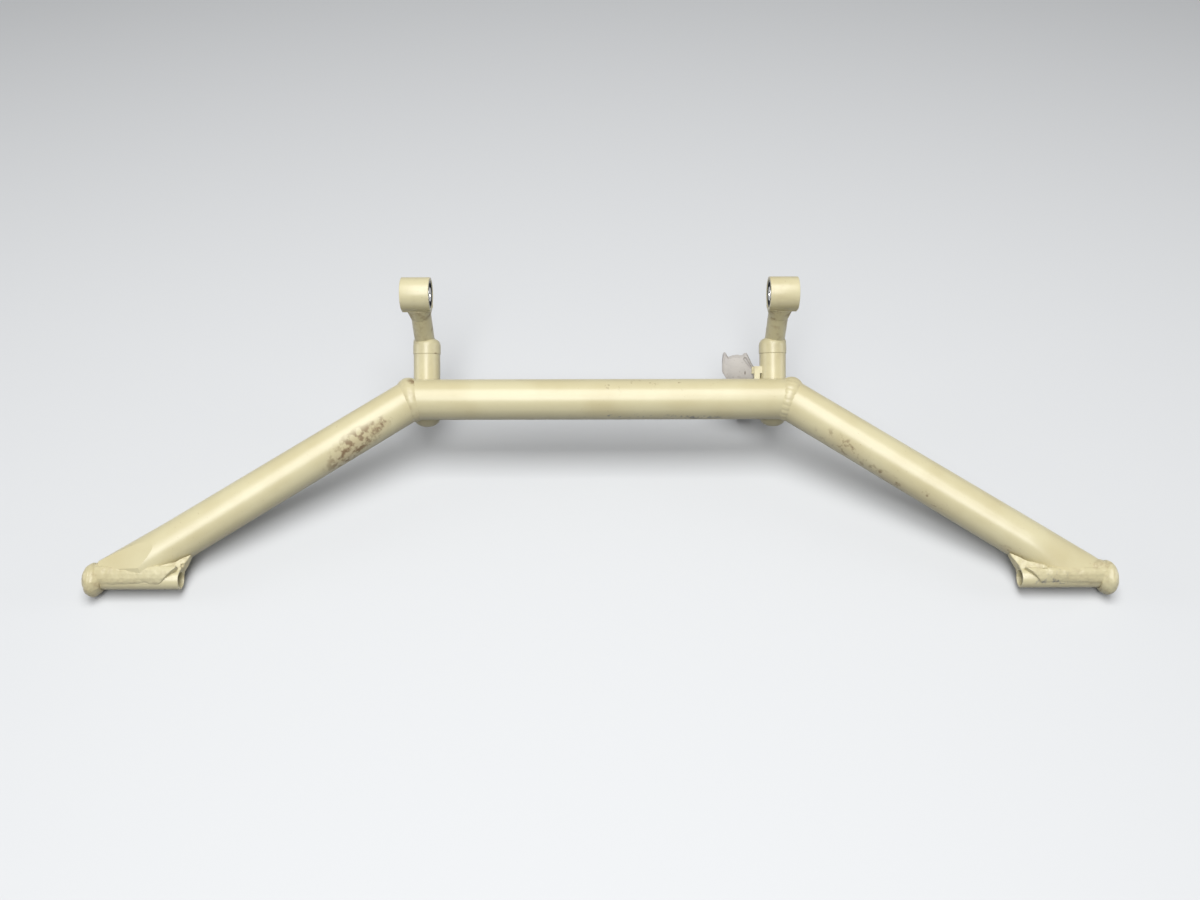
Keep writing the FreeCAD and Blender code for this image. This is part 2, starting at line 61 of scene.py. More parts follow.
# Cross tube: the straight steel tube that carries the frame, cut on a slant at both ends to meet
# the legs. It has a glossy tan enamel all over, specked with rust on top and scuffed underneath.
cross_low, cross_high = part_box("cross_tube")
cross_centre = (cross_low + cross_high) / 2
tube_radius = (cross_high.z - cross_low.z) / 2
along_x = Vector((1, 0, 0))
mitre_point = Vector((0.1329, cross_centre.y, cross_centre.z))
foot_point = Vector((0.3193, 0, 0))
leg_way = (foot_point - mitre_point).normalized()
mitre_normal = (along_x + leg_way).normalized()
paint_colour = (0.58, 0.53, 0.335, 1)
paint_shade = (0.53, 0.47, 0.28, 1)
rust_colour = (0.17, 0.10, 0.05, 1)
rust_halo_colour = (0.40, 0.30, 0.16, 1)
bare_colour = (0.15, 0.155, 0.17, 1)
# This brown is real grime and specks on most pieces, and painted shade on the necks.
dirt_and_shade_colour = (0.30, 0.22, 0.12, 1)


def pick(piece):
    """Makes a piece the only one selected, and the one that operators act on."""
    bpy.ops.object.select_all(action="DESELECT")
    piece.select_set(True)
    bpy.context.view_layer.objects.active = piece


def open_all(piece):
    """Opens a piece for editing with all of it selected."""
    pick(piece)
    bpy.ops.object.mode_set(mode="EDIT")
    bpy.ops.mesh.select_all(action="SELECT")


def close_up(piece):
    """Merges doubled points, closes open rings, points the faces outwards and leaves edit mode."""
    bpy.ops.mesh.select_all(action="SELECT")
    bpy.ops.mesh.remove_doubles(threshold=0.000002)
    bpy.ops.mesh.fill_holes(sides=0)
    bpy.ops.mesh.select_all(action="SELECT")
    bpy.ops.mesh.normals_make_consistent(inside=False)
    bpy.ops.object.mode_set(mode="OBJECT")


def drawn_out(name, rings, base, turn, around=96):
    """Draws a ring out through (half width, half depth, height) steps, then stands it on base."""
    width, depth, height = rings[0]
    bpy.ops.mesh.primitive_circle_add(vertices=around, radius=1, location=(0, 0, height))
    piece = bpy.context.object
    piece.name = name
    open_all(piece)
    bpy.ops.transform.resize(value=(width, depth, 1), center_override=(0, 0, height))
    for next_width, next_depth, next_height in rings[1:]:
        step = {"value": (0, 0, next_height - height)}
        bpy.ops.mesh.extrude_edges_move(TRANSFORM_OT_translate=step)
        stretch = (next_width / width, next_depth / depth, 1)
        bpy.ops.transform.resize(value=stretch, center_override=(0, 0, next_height))
        width, depth, height = next_width, next_depth, next_height
    close_up(piece)
    piece.matrix_world = Matrix.Translation(base) @ turn.to_4x4() @ piece.matrix_world
    bpy.ops.object.transform_apply(location=True, rotation=True, scale=True)
    return piece


def turned(name, outline, base, way, around=96):
    """A round piece with a (radius, height) outline, standing on base along way."""
    rings = [(radius, radius, height) for radius, height in outline]
    return drawn_out(name, rings, base, way.to_track_quat("Z", "Y").to_matrix(), around)


def cut_off(piece, point, normal):
    """Cuts away what lies past a plane and closes the cut."""
    open_all(piece)
    bpy.ops.mesh.bisect(plane_co=point, plane_no=normal, use_fill=True, clear_outer=True)
    close_up(piece)


def modify(piece, kind, **settings):
    """Adds a modifier with its settings and applies it."""
    pick(piece)
    modifier = piece.modifiers.new(kind.lower(), kind)
    for name, value in settings.items():
        setattr(modifier, name, value)
    bpy.ops.object.modifier_apply(modifier=modifier.name)


def feed(tree, socket, value):
    """Links another node's socket, or sets a plain value."""
    if isinstance(value, bpy.types.NodeSocket):
        tree.links.new(value, socket)
    else:
        socket.default_value = value


def clouds(tree, size, low, high, detail=3.0):
    """Blotches about size metres across: 0 where the noise is under low, 1 where it is over high."""
    places = tree.nodes.new("ShaderNodeTexCoord")
    texture = tree.nodes.new("ShaderNodeTexNoise")
    texture.inputs["Scale"].default_value = 1 / size
    texture.inputs["Detail"].default_value = detail
    tree.links.new(places.outputs["Object"], texture.inputs["Vector"])
    spread = tree.nodes.new("ShaderNodeMapRange")
    spread.inputs["From Min"].default_value = low
    spread.inputs["From Max"].default_value = high
    tree.links.new(texture.outputs["Fac"], spread.inputs["Value"])
    return spread.outputs["Result"]


def spot(tree, centre, reach, way=along_x):
    """1 at centre and 0 past reach metres along way, across it and up."""
    places = tree.nodes.new("ShaderNodeTexCoord")
    mapping = tree.nodes.new("ShaderNodeMapping")
    mapping.vector_type = "TEXTURE"
    mapping.inputs["Location"].default_value = centre
    mapping.inputs["Rotation"].default_value = way.to_track_quat("X", "Z").to_euler()
    mapping.inputs["Scale"].default_value = reach
    tree.links.new(places.outputs["Object"], mapping.inputs["Vector"])
    fade = tree.nodes.new("ShaderNodeTexGradient")
    fade.gradient_type = "SPHERICAL"
    tree.links.new(mapping.outputs["Vector"], fade.inputs["Vector"])
    return fade.outputs["Fac"]


def sums(tree, operation, first, second):
    node = tree.nodes.new("ShaderNodeMath")
    node.operation = operation
    node.use_clamp = True
    feed(tree, node.inputs[0], first)
    feed(tree, node.inputs[1], second)
    return node.outputs[0]


def blended(tree, share, under, over):
    """The under colour, covered by the over colour as share goes from 0 to 1."""
    node = tree.nodes.new("ShaderNodeMix")
    node.data_type = "RGBA"
    feed(tree, node.inputs[0], share)
    feed(tree, node.inputs[6], under)
    feed(tree, node.inputs[7], over)
    return node.outputs[2]


def patchy(tree, centre, reach, way, size, fill):
    """A worn patch that thins out to its edge: fill sets how much of it is worn through."""
    area = spot(tree, centre, reach, way)
    ragged = clouds(tree, size, 0.68 - 0.3 * fill, 0.82 - 0.3 * fill, 6.0)
    edge = sums(tree, "MULTIPLY", area, 1.8)
    return sums(tree, "MULTIPLY", edge, ragged)


def enamel(name, rust=(), scuffs=(), stain_and_shade=0.0, roughness=0.30, lumps=0.0):
    """Glossy tan enamel with faint blotches, and with rust, scuffs and a brown stain where given; on the
    necks that stain is painted shade.
    """
    material = bpy.data.materials.new(name)
    material.use_nodes = True
    tree = material.node_tree
    shader = tree.nodes["Principled BSDF"]
    colour = blended(tree, clouds(tree, 0.035, 0.40, 0.70), paint_colour, paint_shade)
    # The stain blotches are real grime and flux on most pieces; on the necks they are painted shade.
    shade_and_grime = sums(tree, "MULTIPLY", clouds(tree, 0.0045, 0.50, 0.72, 5.0), stain_and_shade)
    colour = blended(tree, shade_and_grime, colour, dirt_and_shade_colour)
    freckles = sums(tree, "MULTIPLY", clouds(tree, 0.0016, 0.70, 0.76, 2.0), 0.4)
    colour = blended(tree, freckles, colour, dirt_and_shade_colour)
    rough = sums(tree, "ADD", roughness, sums(tree, "MULTIPLY", shade_and_grime, 0.5))
    for centre, reach, way, fill in scuffs:
        mask = sums(tree, "MULTIPLY", patchy(tree, centre, reach, way, 0.004, fill), 0.8)
        colour = blended(tree, mask, colour, bare_colour)
        rough = sums(tree, "ADD", rough, sums(tree, "MULTIPLY", mask, 0.2))
    for centre, reach, way, fill in rust:
        halo = sums(tree, "MULTIPLY", spot(tree, centre, reach, way), 0.5 * fill)
        colour = blended(tree, halo, colour, rust_halo_colour)
        mask = sums(tree, "MULTIPLY", patchy(tree, centre, reach, way, 0.004, fill), 0.75)
        colour = blended(tree, mask, colour, rust_colour)
        rough = sums(tree, "ADD", rough, sums(tree, "MULTIPLY", mask, 0.4))
    tree.links.new(colour, shader.inputs["Base Color"])
    tree.links.new(rough, shader.inputs["Roughness"])
    shader.inputs["Specular IOR Level"].default_value = 0.5
    relief = tree.nodes.new("ShaderNodeBump")
    relief.inputs["Strength"].default_value = 0.25 + lumps
    relief.inputs["Distance"].default_value = 0.0002
    tree.links.new(clouds(tree, 0.003, 0.0, 1.0, 4.0), relief.inputs["Height"])
    tree.links.new(relief.outputs["Normal"], shader.inputs["Normal"])
    return material


def finish(piece, material, slot, *nodes, body="frame", angle=32):
    """Smooths a piece, gives it its material and lets it stand for its CAD nodes."""
    pick(piece)
    bpy.ops.object.shade_smooth_by_angle(angle=math.radians(angle))
    piece.data.materials.clear()
    piece.data.materials.append(material)
    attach(piece, body)
    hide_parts(*nodes)


cross_reach = mitre_point.x + 2 * tube_radius
cross_rings = [(tube_radius, -cross_reach), (tube_radius, 0), (tube_radius, cross_reach)]
middle = Vector((0, cross_centre.y, cross_centre.z))
cross_piece = turned("cross_tube_painted", cross_rings, middle, along_x, 128)
cut_off(cross_piece, mitre_point, mitre_normal)
left_mitre_point = Vector((-mitre_point.x, mitre_point.y, mitre_point.z))
left_mitre_normal = Vector((-mitre_normal.x, mitre_normal.y, mitre_normal.z))
cut_off(cross_piece, left_mitre_point, left_mitre_normal)
cross_rust = [(Vector((0.030, 0.1255, 0.0576)), (0.060, 0.008, 0.006), along_x, 0.15)]
cross_scuffs = [
    (Vector((0.066, 0.1116, 0.0385)), (0.026, 0.005, 0.003), along_x, 0.7),
    (Vector((0.018, 0.1114, 0.0405)), (0.050, 0.005, 0.003), along_x, 0.35),
]
finish(cross_piece, enamel("cross_enamel", cross_rust, cross_scuffs), "tan_paint", "cross_tube")

# Legs: two tubes of the same stock, mitred to the cross tube. The lower end of each is pinched
# flat over the small pivot tube, the left one in plain facets with a crease above the tube, and
# the enamel is worn to rust where hands rub it.
pinch_length = 0.046
pinch_half_depth = 0.0087
pinch_half_width = 0.0155
pinch_run_out = 0.024
right_leg_trim = 0.0010
left_leg_trim = -0.0012
leg_collar_gap = 0.0005
facet_start = 0.0339
crease_back = 0.0040
crease_drop = 0.0025
crease_fall = 0.0030
pivot_radius = (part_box("right_pivot_tube")[1].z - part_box("right_pivot_tube")[0].z) / 2
collar_low, collar_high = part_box("right_end_collar")
frame_back = Vector((0, cross_centre.y, cross_centre.z)).normalized()
frame_normal = along_x.cross(frame_back)
leg_length = (foot_point - mitre_point).length


def frame_point(side, back, lift):
    """A point by its place in the plane of the legs: across, back from the pivot axis, and off it."""
    return along_x * side + frame_back * back + frame_normal * lift


def mirrored_copy(piece, name):
    """The left-hand twin of a right-hand piece, with its own mesh."""
    twin = piece.copy()
    twin.data = piece.data.copy()
    twin.name = name
    bpy.context.scene.collection.objects.link(twin)
    twin.scale.x = -1
    pick(twin)
    bpy.ops.object.transform_apply(location=True, rotation=True, scale=True)
    open_all(twin)
    bpy.ops.mesh.normals_make_consistent(inside=False)
    bpy.ops.object.mode_set(mode="OBJECT")
    return twin


def flipped(piece, name):
    """A right-hand piece turned into a left-hand one."""
    twin = mirrored_copy(piece, name)
    bpy.data.objects.remove(piece)
    return twin


def leg_ring(share):
    """A ring of the pinch, from the round tube at 0 to the flattened end at 1."""
    ease = share * share * (3 - 2 * share)
    half_width = tube_radius + (pinch_half_width - tube_radius) * ease
    half_depth = tube_radius + (pinch_half_depth - tube_radius) * ease
    return half_width, half_depth, leg_length - pinch_length * (1 - share)


def carve(piece, cutter, operation="DIFFERENCE"):
    """Cuts a piece by another, which is then thrown away."""
    modify(piece, "BOOLEAN", object=cutter, operation=operation, solver="EXACT")
    bpy.data.objects.remove(cutter)


def pivot_space(start=0.25, length=0.1, radius=0.0062):
    """The room that the pivot tube takes, to cut out of what is laid over it."""
    return turned("pivot_space", [(radius, 0), (radius, length)], along_x * start, along_x)


def leg_body(name, rings, trim):
    """A leg drawn out from the mitre, then trimmed at the mitre, the collar and the pivot tube."""
    turn = Matrix((frame_normal.cross(leg_way), frame_normal, leg_way)).transposed()
    piece = drawn_out(name, rings, mitre_point, turn, 128)
    cut_off(piece, mitre_point, -mitre_normal)
    cut_off(piece, Vector((collar_low.x - leg_collar_gap, 0, 0)), along_x)
    cut_off(piece, frame_point(0.320, 0.0185, 0), along_x * 0.73 + frame_back * 0.68)
    cut_off(piece, frame_back * trim, -frame_back)
    carve(piece, pivot_space(radius=pivot_radius))
    return piece


leg_start = (tube_radius, tube_radius, -2 * tube_radius)
right_rings = [leg_start] + [leg_ring(step / 14) for step in range(15)]
end_width, end_depth, end_height = right_rings[-1]
right_rings.append((end_width + 0.0008, end_depth - 0.0018, end_height + pinch_run_out))
right_leg = leg_body("right_leg_painted", right_rings, right_leg_trim)
left_rings = [leg_start, (tube_radius, tube_radius, leg_length - pinch_length)]
left_rings.append((pinch_half_width, tube_radius, leg_length))
left_rings.append((pinch_half_width + 0.0008, tube_radius, leg_length + pinch_run_out))
left_leg = leg_body("faceted_leg", left_rings, left_leg_trim)
facet_tilt = math.atan((tube_radius - pinch_half_depth) / facet_start)
for face in (frame_normal, -frame_normal):
    facet_point = foot_point - leg_way * facet_start + face * tube_radius
    cut_off(left_leg, facet_point, face * math.cos(facet_tilt) + leg_way * math.sin(facet_tilt))
    crease = frame_point(0.300, crease_back, 0) + face * 0.0117
    rise = (frame_point(0.285, crease_back, 0) + face * 0.0138 - crease).normalized()
    fall = (frame_back * -crease_fall - face * crease_drop).normalized()
    slope = rise.cross(fall).normalized()
    cut_off(left_leg, crease, slope if slope.dot(face) > 0 else -slope)
left_leg = flipped(left_leg, "left_leg_painted")
left_leg_way = Vector((-leg_way.x, leg_way.y, leg_way.z))
left_rust = [
    (Vector((-0.1649, 0.088, 0.0398)), (0.026, 0.010, 0.010), left_leg_way, 0.8),
    (Vector((-0.1734, 0.081, 0.0313)), (0.020, 0.011, 0.010), left_leg_way, 0.75),
    (Vector((-0.1519, 0.0982, 0.0452)), (0.012, 0.006, 0.006), left_leg_way, 0.45),
]
right_rust = [
    (Vector((0.1673, 0.0853, 0.0357)), (0.026, 0.009, 0.009), leg_way, 0.45),
    (Vector((0.1939, 0.0678, 0.0233)), (0.024, 0.010, 0.008), leg_way, 0.5),
    (Vector((0.2211, 0.0489, 0.0220)), (0.016, 0.007, 0.007), leg_way, 0.3),
    (Vector((0.2714, 0.0152, 0.0073)), (0.010, 0.006, 0.005), leg_way, 0.6),
]
finish(left_leg, enamel("left_leg_enamel", left_rust), "tan_paint", "left_leg_tube", angle=6)
finish(right_leg, enamel("right_leg_enamel", right_rust), "tan_paint", "right_leg_tube")

# Mitre welds: one arc-welded bead round each corner, laid as overlapping pools. The right one
# still shows its ripples, and the left one is nearly smooth under the paint.
bead_half_width = 0.0047
bead_height = 0.0013
bead_steps = 144
pool_length = 6


def lumpy(piece, size, height, depth_shift=0.5):
    """Swells and sinks a surface in lumps about size metres across."""
    texture = bpy.data.textures.new(piece.name + "_lumps", "CLOUDS")
    texture.noise_scale = size
    texture.noise_depth = 2
    push = {"strength": height, "mid_level": depth_shift}
    modify(piece, "DISPLACE", texture=texture, texture_coords="GLOBAL", **push)


def welded_ring(name, ripple):
    """A bead round the mitre, crowned in section and oval like the joint."""
    section_radius = (bead_half_width ** 2 + bead_height ** 2) / (2 * bead_height)
    ring_radius = tube_radius + bead_height - section_radius
    bpy.ops.mesh.primitive_torus_add(
        major_segments=bead_steps, minor_segments=24, major_radius=ring_radius, minor_radius=section_radius
    )
    piece = bpy.context.object
    piece.name = name
    for start in range(0, bead_steps, pool_length):
        bpy.ops.object.mode_set(mode="EDIT")
        bpy.ops.mesh.select_mode(type="VERT")
        bpy.ops.mesh.select_all(action="DESELECT")
        bpy.ops.object.mode_set(mode="OBJECT")
        for point in piece.data.vertices[start * 24 : (start + 1) * 24]:
            point.select = True
        bpy.ops.object.mode_set(mode="EDIT")
        bpy.ops.transform.shrink_fatten(value=-ripple)
    bpy.ops.object.mode_set(mode="OBJECT")
    modify(piece, "SMOOTH", factor=0.5, iterations=5)
    oval_way = frame_normal.cross(mitre_normal).normalized()
    stretch = 1 / abs(oval_way.dot(frame_normal.cross(along_x)))
    turn = Matrix((oval_way, mitre_normal.cross(oval_way), mitre_normal)).transposed().to_4x4()
    piece.matrix_world = Matrix.Translation(mitre_point) @ turn @ Matrix.Diagonal((stretch, 1, 1, 1))
    bpy.ops.object.transform_apply(location=True, rotation=True, scale=True)
    return piece


right_mitre_bead = welded_ring("right_mitre_bead", 0.0005)
left_mitre_bead = flipped(welded_ring("plain_bead", 0.0001), "left_mitre_bead")
lumpy(right_mitre_bead, 0.006, 0.0005)
lumpy(left_mitre_bead, 0.008, 0.0004)
mitre_rust = [(Vector((-0.1299, 0.1288, 0.0572)), (0.006, 0.005, 0.004), along_x, 0.7)]
finish(left_mitre_bead, enamel("left_mitre_enamel", mitre_rust, stain_and_shade=0.3), "painted_weld", "left_mitre_weld")
finish(right_mitre_bead, enamel("right_mitre_enamel", stain_and_shade=0.25), "painted_weld", "right_mitre_weld")

# Pivot tubes: short thin-walled tubes in line with each other, open at both ends, so that a shaft
# can pass through. They stay smooth below the wrap, and the right one is dirty low down.
pivot_low, pivot_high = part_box("right_pivot_tube")
pivot_wall = 0.001245
pivot_length = pivot_high.x - pivot_low.x
pivot_outline = [
    (pivot_radius, 0),
    (pivot_radius, pivot_length),
    (pivot_radius - pivot_wall, pivot_length),
    (pivot_radius - pivot_wall, 0),
    (pivot_radius, 0),
]
right_pivot = turned("right_pivot_painted", pivot_outline, Vector((pivot_low.x, 0, 0)), along_x)
modify(right_pivot, "BEVEL", width=0.00025, segments=2)
left_pivot = mirrored_copy(right_pivot, "left_pivot_painted")
finish(left_pivot, enamel("left_pivot_enamel", stain_and_shade=0.1), "tan_paint", "left_pivot_tube")
pivot_dirt = [
    (frame_point(0.290, -0.0045, 0.0058), (0.014, 0.004, 0.004), along_x, 0.5),
    (frame_point(0.302, -0.0030, 0.0070), (0.012, 0.005, 0.005), along_x, 0.45),
]
right_pivot_paint = enamel("right_pivot_enamel", scuffs=pivot_dirt, stain_and_shade=0.15)
finish(right_pivot, right_pivot_paint, "tan_paint", "right_pivot_tube")

# Pivot welds: the thick rough band of weld where the pinched leg wraps over the pivot tube. It is
# lumpy and pitted under the paint, and its lower edge fades out low on the tube as a ragged lip.
wrap_start = 0.2760
wrap_end = collar_low.x + 0.001
wrap_sections = {
    "left": [
        (0.0068, 0.0086),
        (0.0056, 0.0097),
        (0.0034, 0.0101),
        (0.0008, 0.0094),
        (-0.0018, 0.0080),
        (-0.0036, 0.0062),
        (-0.0046, 0.0044),
    ],
    "right": [
        (0.0048, 0.0080),
        (0.0038, 0.0092),
        (0.0014, 0.0098),
        (-0.0010, 0.0090),
        (-0.0030, 0.0074),
        (-0.0044, 0.0057),
        (-0.0052, 0.0038),
    ],
}


def plate(name, corners, thickness):
    """Draws an outline corner by corner, fills it and thickens it."""
    bpy.ops.mesh.primitive_plane_add(size=0.001, location=corners[0])
    piece = bpy.context.object
    piece.name = name
    open_all(piece)
    bpy.ops.mesh.merge(type="CENTER")
    for place, next_place in zip(corners, corners[1:]):
        bpy.ops.mesh.extrude_region_move(TRANSFORM_OT_translate={"value": next_place - place})
    bpy.ops.mesh.select_all(action="SELECT")
    bpy.ops.mesh.edge_face_add()
    bpy.ops.mesh.extrude_region_move(TRANSFORM_OT_translate={"value": thickness})
    close_up(piece)
    bpy.ops.object.transform_apply(location=True, rotation=True, scale=True)
    return piece


def melted(piece, rounds):
    """Fuses the parts of a weld into one skin and softens its corners."""
    modify(piece, "REMESH", mode="VOXEL", voxel_size=0.0004)
    modify(piece, "SMOOTH", factor=0.5, iterations=rounds)


band_dirt = pivot_dirt + [
    (frame_point(0.283, 0.0052, 0.0090), (0.005, 0.003, 0.004), along_x, 0.4),
    (frame_point(0.2935, 0.0012, 0.0098), (0.006, 0.004, 0.004), along_x, 0.5),
]
for side, stain_and_shade, scuffs in (("left", 0.25, ()), ("right", 0.3, band_dirt)):
    section = wrap_sections[side]
    corners = [frame_point(wrap_start, back, lift) for back, lift in section]
    corners += [frame_point(wrap_start, back, -lift) for back, lift in reversed(section)]
    wrap = plate(side + "_pivot_wrap", corners, along_x * (wrap_end - wrap_start))
    cut_off(wrap, frame_point(wrap_start, 0.005, 0), along_x * -0.69 + frame_back * -0.73)
    carve(wrap, pivot_space())
    if side == "left":
        wrap = flipped(wrap, "left_pivot_band")
    melted(wrap, 6)
    lumpy(wrap, 0.008, 0.0010, 0.55)
    lumpy(wrap, 0.003, 0.0004)
    band_paint = enamel(side + "_wrap_enamel", scuffs=scuffs, stain_and_shade=stain_and_shade, roughness=0.36, lumps=0.4)
    finish(wrap, band_paint, "painted_weld", side + "_pivot_weld", angle=60)

# End collars: thick rings on the outboard ends of the pivot tubes, that hold the frame sideways.
# Their outer rims are rounded by grinding, and a cone of weld fills the corner to the tube.
collar_radius = (collar_high.z - collar_low.z) / 2 - 0.0005
collar_length = collar_high.x - collar_low.x - 0.0010
collar_rounding = 0.0056
rounding_steps = 9


def rounded_edge(radius, height, turn_start):
    """Points round a quarter of a rounded edge, for a (radius, height) outline."""
    points = []
    for step in range(rounding_steps + 1):
        angle = math.radians(turn_start + 90 * step / rounding_steps)
        across = radius + collar_rounding * math.cos(angle)
        points.append((across, height + collar_rounding * math.sin(angle)))
    return points


collar_outline = [(pivot_radius, -0.0022), (pivot_radius + 0.0012, -0.0018), (pivot_radius + 0.0026, -0.0004)]
collar_outline += [(collar_radius - 0.0012, 0.0012), (collar_radius - 0.0002, 0.0034)]
collar_outline += rounded_edge(collar_radius - collar_rounding, collar_length - collar_rounding, 0)
collar_outline += [(pivot_radius, collar_length), (pivot_radius, -0.0022)]
right_collar = turned("right_collar_painted", collar_outline, Vector((collar_low.x, 0, 0)), along_x)
left_collar = mirrored_copy(right_collar, "left_collar_painted")
for collar in (left_collar, right_collar):
    melted(collar, 4)
    lumpy(collar, 0.008, 0.0011, 0.65)
    lumpy(collar, 0.003, 0.0004)
    side = collar.name.split("_")[0]
    collar_paint = enamel(side + "_collar_enamel", stain_and_shade=0.55, roughness=0.34, lumps=0.3)
    finish(collar, collar_paint, "tan_paint", side + "_end_collar", angle=60)

# Collar welds: the low hump of weld between the collar and the leg end, piled up over the top of
# the leg and round the pivot tube.
hump_rings = [
    (0.0040, 0.0055, 0),
    (0.0062, 0.0074, 0.0020),
    (0.0074, 0.0085, 0.0052),
    (0.0078, 0.0089, 0.0085),
    (0.0074, 0.0086, 0.0118),
    (0.0062, 0.0076, 0.0145),
    (0.0040, 0.0055, 0.0162),
]
hump_turn = Matrix((frame_back, frame_normal, along_x)).transposed()
right_blob = drawn_out("right_collar_hump", hump_rings, frame_point(0.3168, 0.0046, 0), hump_turn)
carve(right_blob, pivot_space())
left_blob = mirrored_copy(right_blob, "left_collar_hump")
for blob in (left_blob, right_blob):
    melted(blob, 5)
    lumpy(blob, 0.006, 0.0011)
    lumpy(blob, 0.003, 0.0004)
    side = blob.name.split("_")[0]
    blob_paint = enamel(side + "_blob_enamel", stain_and_shade=0.5, roughness=0.36, lumps=0.4)
    finish(blob, blob_paint, "painted_weld", side + "_collar_weld", angle=60)

# Leg gussets and their welds: a small plate fills the corner between each leg and the inboard end
# of its pivot tube, and thick welds bury it in a web that widens into the band. A pit is left on
# the left one.
web_corners = [
    (0.2698, 0.0168),
    (0.2712, 0.0132),
    (0.2726, 0.0102),
    (0.2742, 0.0070),
    (0.2745, 0.0042),
    (0.2900, 0.0030),
    (0.2900, 0.0050),
    (0.2790, 0.0100),
    (0.2720, 0.0155),
]
web_depth = 0.0100
web_flare = math.radians(24)
pit_radius = 0.0013
for side in ("left", "right"):
    corners = [frame_point(across, back, -web_depth) for across, back in web_corners]
    web = plate(side + "_gusset_web", corners, frame_normal * 2 * web_depth)
    for face in (frame_normal, -frame_normal):
        tilt = face * math.cos(web_flare) - along_x * math.sin(web_flare)
        cut_off(web, frame_point(0.2715, 0, 0) + face * 0.0028, tilt)
    carve(web, pivot_space())
    if side == "left":
        pit_place = frame_point(0.2736, 0.0085, 0.0034)
        bpy.ops.mesh.primitive_uv_sphere_add(
            segments=24, ring_count=12, radius=pit_radius, location=pit_place
        )
        carve(web, bpy.context.object)
        web = flipped(web, "left_gusset_fillet")
    melted(web, 4)
    lumpy(web, 0.005, 0.0007)
    web_paint = enamel(side + "_gusset_enamel", stain_and_shade=0.35, roughness=0.36, lumps=0.4)
    finish(web, web_paint, "painted_weld", side + "_gusset_weld", angle=60)
    gusset = frame["nodes"][side + "_leg_gusset"]
    gusset.data.materials.clear()
    gusset.data.materials.append(web_paint)

# Sleeves: two short tubes that lean back behind the cross tube and carry the necks. A domed plug
# closes the lower end of each, and a rounded cap a hair wider than the tube closes the upper end.
sleeve_radius = 0.009525
sleeve_wall = 0.0021
sleeve_side = 0.1255
sleeve_elevation = math.radians(44.3)
sleeve_above = 0.0338
sleeve_below = 0.012
sleeve_way = Vector((0, math.cos(sleeve_elevation), math.sin(sleeve_elevation)))
sleeve_front = along_x.cross(sleeve_way)
sleeve_distance = tube_radius + sleeve_radius + 0.0001
sleeve_centre = Vector((sleeve_side, cross_centre.y, cross_centre.z)) - sleeve_front * sleeve_distance
plug_dome = 0.0068
cap_radius = 0.0099
cap_band = 0.0058
cap_dome = 0.0051
cap_top_radius = 0.0064

sleeve_outline = [
    (sleeve_radius, -sleeve_below),
    (sleeve_radius, sleeve_above),
    (sleeve_radius - sleeve_wall, sleeve_above),
    (sleeve_radius - sleeve_wall, -sleeve_below),
    (sleeve_radius, -sleeve_below),
]
right_sleeve = turned("right_sleeve_painted", sleeve_outline, sleeve_centre, sleeve_way)
plug_outline = []
cap_outline = [(cap_radius - 0.0004, 0), (cap_radius, 0.0004)]
for step in range(10):
    angle = math.radians(90 * step / 9.5)
    plug_outline.append((sleeve_radius * math.cos(angle), plug_dome * math.sin(angle)))
    cap_across = cap_top_radius + (cap_radius - cap_top_radius) * math.cos(angle)
    cap_outline.append((cap_across, cap_band + cap_dome * math.sin(angle)))
plug_base = sleeve_centre - sleeve_way * sleeve_below
right_plug = turned("right_plug_painted", plug_outline, plug_base, -sleeve_way)
cap_base = sleeve_centre + sleeve_way * sleeve_above
right_cap = turned("right_cap_painted", cap_outline, cap_base, sleeve_way)
cap_rust = {"left": Vector((-0.119, 0.161, 0.053)), "right": Vector((0.134, 0.166, 0.052))}
for piece, part in ((right_sleeve, "sleeve"), (right_plug, "plug"), (right_cap, "cap")):
    node = {"sleeve": "sleeve", "plug": "sleeve_plug", "cap": "sleeve_cap"}[part]
    twin = mirrored_copy(piece, "left_" + part + "_painted")
    for half, side in ((twin, "left"), (piece, "right")):
        rust = [(cap_rust[side], (0.006, 0.004, 0.004), along_x, 0.6)] if part == "cap" else ()
        paint = enamel(side + "_" + part + "_enamel", rust, stain_and_shade=0.12)
        finish(half, paint, "tan_paint", side + "_" + node)

# Sleeve welds: the filled corner where each sleeve bears on the back of the cross tube.
for side in ("left", "right"):
    weld = frame["nodes"][side + "_sleeve_weld"]
    weld.data.materials.clear()
    weld.data.materials.append(enamel(side + "_sleeve_weld_enamel", stain_and_shade=0.5, roughness=0.4, lumps=0.8))

# Necks: slim upright tubes from the caps to the bosses. They stand in the shade of the bosses and
# carry the same enamel, darkened all over by painted shade given as a heavy stain.
neck_radius = 0.00714375
boss_place = Vector(frame["joints"][2]["pos_m"])
if boss_place.x < 0:
    boss_place.x = -boss_place.x
neck_side = 0.1270
neck_foot = Vector((neck_side, boss_place.y, boss_place.z - 0.0425))
boss_radius = 0.01190625
neck_rings = [(neck_radius, -0.004), (neck_radius, 0.010), (neck_radius, 0.0425 - boss_radius + 0.002)]
right_neck = turned("right_neck_painted", neck_rings, neck_foot, Vector((0, 0, 1)))
left_neck = mirrored_copy(right_neck, "left_neck_painted")
# The necks' stain of 0.45 is painted shade: it darkens their whole enamel as if they stood in shadow.
finish(left_neck, enamel("left_neck_enamel", stain_and_shade=0.45), "tan_paint", "left_neck")
finish(right_neck, enamel("right_neck_enamel", stain_and_shade=0.45), "tan_paint", "right_neck")

